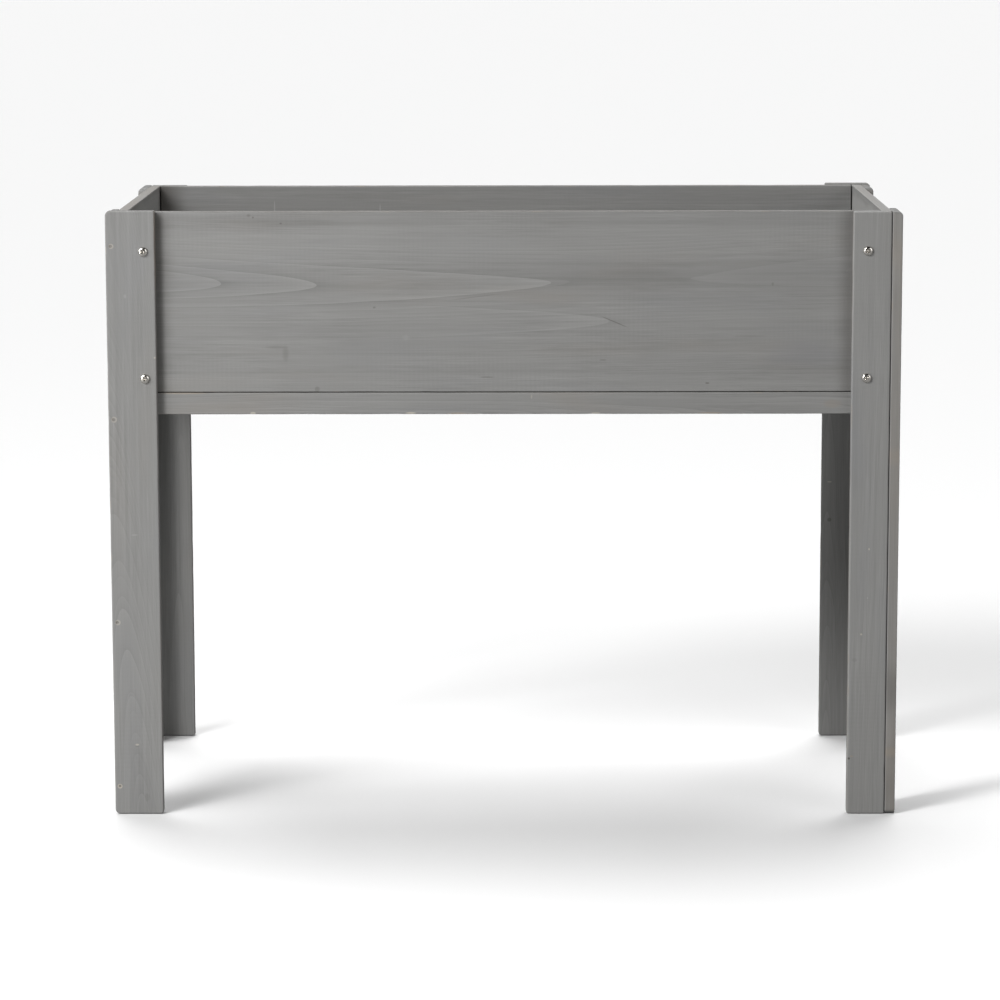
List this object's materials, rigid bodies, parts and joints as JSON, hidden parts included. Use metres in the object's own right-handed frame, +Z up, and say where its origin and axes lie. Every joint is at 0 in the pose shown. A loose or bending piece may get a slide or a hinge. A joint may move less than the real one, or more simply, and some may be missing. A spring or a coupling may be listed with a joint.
{
  "type": "raised planter on legs",
  "caption": "Open rectangular wooden planter box held at waist height on angle-section board legs, with tall plank walls, low bottom rails and a slatted floor.",
  "frame": {"origin": "on the ground under the middle of the planter", "axes": "+X along the planter towards its right end, +Y from its front to its back, +Z up"},
  "size_m": [1.0226, 0.4866, 0.787],
  "materials": {
    "grey_leg_board": "grey-washed planed softwood, matte",
    "grey_wall_board": "grey-washed planed softwood with cathedral grain, matte",
    "grey_rail": "grey-washed planed softwood, matte",
    "bare_floor_wood": "grey-washed rough softwood, matte",
    "leg_screw_nickel": "bright nickel-plated steel",
    "batten_screw_zinc": "zinc-plated steel",
    "nail_steel": "dull steel"
  },
  "bodies": {
    "root": {"back_batten_screws": "batten_screw_zinc", "back_bottom_rail": "grey_rail", "back_floor_batten": "bare_floor_wood", "back_left_leg_nails": "nail_steel", "back_left_leg_narrow_board": "grey_leg_board", "back_left_leg_screws": "leg_screw_nickel", "back_left_leg_wide_board": "grey_leg_board", "back_right_leg_nails": "nail_steel", "back_right_leg_narrow_board": "grey_leg_board", "back_right_leg_screws": "leg_screw_nickel", "back_right_leg_wide_board": "grey_leg_board", "back_slat_nails": "nail_steel", "back_wall_board": "grey_wall_board", "floor_slat_1": "bare_floor_wood", "floor_slat_2": "bare_floor_wood", "floor_slat_3": "bare_floor_wood", "floor_slat_4": "bare_floor_wood", "floor_slat_5": "bare_floor_wood", "floor_slat_6": "bare_floor_wood", "floor_slat_7": "bare_floor_wood", "floor_slat_8": "bare_floor_wood", "floor_slat_9": "bare_floor_wood", "front_batten_screws": "batten_screw_zinc", "front_bottom_rail": "grey_rail", "front_floor_batten": "bare_floor_wood", "front_left_leg_nails": "nail_steel", "front_left_leg_narrow_board": "grey_leg_board", "front_left_leg_screws": "leg_screw_nickel", "front_left_leg_wide_board": "grey_leg_board", "front_right_leg_nails": "nail_steel", "front_right_leg_narrow_board": "grey_leg_board", "front_right_leg_screws": "leg_screw_nickel", "front_right_leg_wide_board": "grey_leg_board", "front_slat_nails": "nail_steel", "front_wall_board": "grey_wall_board", "left_batten_screws": "batten_screw_zinc", "left_bottom_rail": "grey_rail", "left_floor_batten": "bare_floor_wood", "left_wall_board": "grey_wall_board", "right_batten_screws": "batten_screw_zinc", "right_bottom_rail": "grey_rail", "right_floor_batten": "bare_floor_wood", "right_wall_board": "grey_wall_board"}
  },
  "joints": []
}
